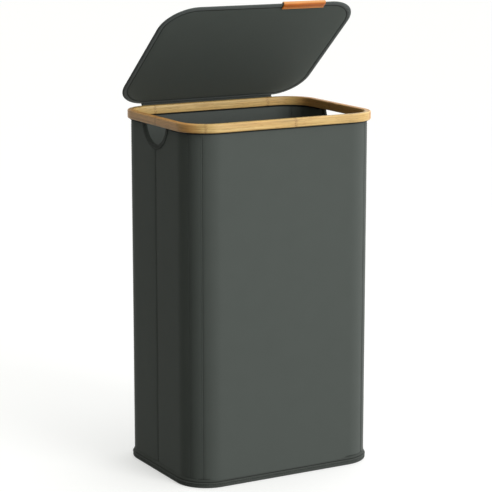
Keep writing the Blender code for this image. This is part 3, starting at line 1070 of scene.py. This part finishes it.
def build_pull_tab():
    """Leather folded over the lid's front edge, with lifted raw edges and one row of stitching."""
    left, right = TAB_LOW.x, TAB_HIGH.x
    thickness = 0.0015
    front = LID_BACK - LID_DEPTH
    reach = 0.011
    middle = LID_MIDDLE
    half = 0.0033
    fold = 0.0026
    lip = 0.0018
    centreline = [(front + reach, middle - half - 0.0007), (front + reach - lip, middle - half)]
    centreline += [(front + 0.002, middle - half)]
    for step in range(15):
        turn = math.radians(270 - 180 * step / 14)
        depth = front + 0.001 + (fold + 0.001) * math.cos(turn)
        centreline.append((depth, middle + half * math.sin(turn)))
    centreline += [(front + 0.002, middle + half)]
    centreline += [(front + reach - lip, middle + half), (front + reach, middle + half + 0.0005)]
    step = 0.0006
    path = smooth_line(centreline, step, rounds=2)
    leather = leather_skin("tan_leather", LEATHER_TAN, len(path) * step)
    columns = [left, left + 0.0004, left + 0.001] + spread(left + 0.003, right - 0.003, 0.004)
    columns += [right - 0.001, right - 0.0004, right]
    bm = bmesh.new()
    layer = bm.loops.layers.uv.new("cloth")
    rows = {1: [], -1: []}
    for index, point in enumerate(path):
        forward = (path[min(len(path) - 1, index + 1)] - path[max(0, index - 1)]).normalized()
        normal = Vector((forward.y, -forward.x))
        for side in (1, -1):
            row = []
            for x in columns:
                edge = min(x - left, right - x)
                thin = 1 - 0.45 * math.exp(-edge / 0.0004)
                spot = point + normal * (side * thickness / 2 * thin)
                row.append(bm.verts.new((x, spot.x, spot.y)))
            rows[side].append(row)

    def face(corners, slot):
        made = bm.faces.new([rows[side][i][j] for side, i, j in corners])
        made.material_index = slot
        for loop, (_, i, j) in zip(made.loops, corners):
            loop[layer].uv = (columns[j], i * step)

    last_row, last = len(path) - 1, len(columns) - 1
    for i in range(last_row):
        for j in range(last):
            face(((1, i, j), (1, i, j + 1), (1, i + 1, j + 1), (1, i + 1, j)), 0)
            face(((-1, i, j), (-1, i + 1, j), (-1, i + 1, j + 1), (-1, i, j + 1)), 0)
        for j in (0, last):
            face(((1, i, j), (1, i + 1, j), (-1, i + 1, j), (-1, i, j)), 1)
    for i in (0, last_row):
        for j in range(last):
            face(((1, i, j), (-1, i, j), (-1, i, j + 1), (1, i, j + 1)), 1)
    bmesh.ops.recalc_face_normals(bm, faces=bm.faces)
    piece = finish_mesh("leather_tab", bm, [leather, cut_leather], 50, LID_PLACE)
    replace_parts(piece, "leather_pull_tab")
    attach(piece, "lid")
    spots = []
    for x in spread(left + 0.004, right - 0.004, STITCH_PITCH):
        for facing in (-1, 1):
            centre = Vector((x, front + reach - 0.0036, middle + facing * (half + thickness / 2)))
            spots.append((centre, Vector((1, 0, 0)), Vector((0, 0, facing))))
    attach(stitches("leather_tab_stitches", spots, tan_thread, LID_PLACE), "lid")


build_hinge_strip()
build_pull_tab()


# Hidden boards


def dress_boards():
    """The stiffening boards stay as they are in the design and take their board finishes."""
    boards = [name for name in frame["nodes"] if name.endswith("_board") or name.endswith("_stay")]
    for name in boards:
        material = base_fibre if name == "base_board" else grey_board
        for slot in frame["nodes"][name].material_slots:
            slot.material = material


dress_boards()


# Studio


FLOOR_TONE = 0.60
FLOOR_GLOW = 0.46
FLOOR_REACH = 80.0
WALL_LEFT = 0.10
WALL_RIGHT = 1.05
CEILING = 0.40
RIGHTWARDS = (0.94, 0.34, 0.0)
LEFT_TINT = (0.97, 1.0, 0.88, 1.0)
WHITE = (1.0, 1.0, 1.0, 1.0)
KEYS = (("low_key", (1.0, -3.1, 1.35), 56), ("high_key", (0.6, -3.0, 2.4), 17))
KEY_SIZE = 1.5
KEY_TARGET = (0, 0, 0.45)

CAMERA_AZIMUTH = math.radians(-29.23)
CAMERA_ELEVATION = math.radians(11.42)
CAMERA_DISTANCE = 3.661
CAMERA_TARGET = (-0.006, 0.0, 0.4114)
CAMERA_LENS = 142.1


def build_floor():
    """A plain pale floor, wide enough that its far edge is out of sight. It glows a little, as a lit
    sweep does, and gives no light back to the object, so that the object keeps its shaded side."""
    n = Nodes("studio_floor")
    grain = n.noise(n.point(), 3.0, 2.0)
    tone = n.ramp(grain, (0.0, (FLOOR_TONE,) * 3), (1.0, (FLOOR_TONE * 1.01,) * 3))
    material = n.surface(tone, 0.8, specular=0.0)
    n.shader.inputs["Emission Color"].default_value = WHITE
    n.shader.inputs["Emission Strength"].default_value = FLOOR_GLOW
    mesh = bpy.data.meshes.new("studio_floor")
    corners = [(x * FLOOR_REACH, y * FLOOR_REACH, 0) for x, y in ((-1, -1), (1, -1), (1, 1), (-1, 1))]
    mesh.from_pydata(corners, [], [(0, 1, 2, 3)])
    mesh.materials.append(material)
    floor = bpy.data.objects.new("studio_floor", mesh)
    floor.location.z = -0.0005
    floor.visible_diffuse = False
    bpy.context.scene.collection.objects.link(floor)


def add_light(name, place, power):
    """A soft square light aimed at the object."""
    data = bpy.data.lights.new(name, "AREA")
    data.size = KEY_SIZE
    data.energy = power
    lamp = bpy.data.objects.new(name, data)
    lamp.location = place
    lamp.rotation_mode = "QUATERNION"
    lamp.rotation_quaternion = (Vector(KEY_TARGET) - Vector(place)).to_track_quat("-Z", "Y")
    bpy.context.scene.collection.objects.link(lamp)


def build_lights():
    """Soft keys from the front right under a bright ceiling; the room is dimmer on the left."""
    world = bpy.data.worlds.new("studio")
    bpy.context.scene.world = world
    world.use_nodes = True
    tree = world.node_tree

    def node(kind, inputs, **settings):
        made = tree.nodes.new(kind)
        for key, value in settings.items():
            setattr(made, key, value)
        for key, value in inputs:
            if isinstance(value, bpy.types.NodeSocket):
                tree.links.new(value, made.inputs[key])
            else:
                made.inputs[key].default_value = value
        return made.outputs

    def scale_and_add(value, factor, added):
        inputs = ((0, value), (1, factor), (2, added))
        return node("ShaderNodeMath", inputs, operation="MULTIPLY_ADD")[0]

    direction = node("ShaderNodeTexCoord", ())["Generated"]
    across = node("ShaderNodeVectorMath", ((0, direction), (1, RIGHTWARDS)), operation="DOT_PRODUCT")
    span = (("Value", across["Value"]), ("From Min", -0.8), ("From Max", 0.6))
    walls = node("ShaderNodeMapRange", span, interpolation_type="SMOOTHSTEP")["Result"]
    tint = node("ShaderNodeMix", ((0, walls), (6, LEFT_TINT), (7, WHITE)), data_type="RGBA")[2]
    level = scale_and_add(walls, WALL_RIGHT - WALL_LEFT, WALL_LEFT)
    upwards = node("ShaderNodeSeparateXYZ", ((0, direction),))[2]
    background = tree.nodes["Background"]
    tree.links.new(tint, background.inputs["Color"])
    tree.links.new(scale_and_add(upwards, CEILING, level), background.inputs["Strength"])
    for name, place, power in KEYS:
        add_light(name, place, power)


def build_camera():
    """The camera looks from the front left, a little from above."""
    level = math.cos(CAMERA_ELEVATION)
    back_x, back_y = math.sin(CAMERA_AZIMUTH) * level, -math.cos(CAMERA_AZIMUTH) * level
    back = Vector((back_x, back_y, math.sin(CAMERA_ELEVATION)))
    data = bpy.data.cameras.new("camera")
    data.lens = CAMERA_LENS
    data.sensor_width = 36.0
    camera = bpy.data.objects.new("camera", data)
    camera.location = Vector(CAMERA_TARGET) + back * CAMERA_DISTANCE
    camera.rotation_mode = "QUATERNION"
    camera.rotation_quaternion = (-back).to_track_quat("-Z", "Y")
    bpy.context.scene.collection.objects.link(camera)
    bpy.context.scene.camera = camera


build_floor()
build_lights()
build_camera()
bpy.context.scene.view_settings.view_transform = "Standard"
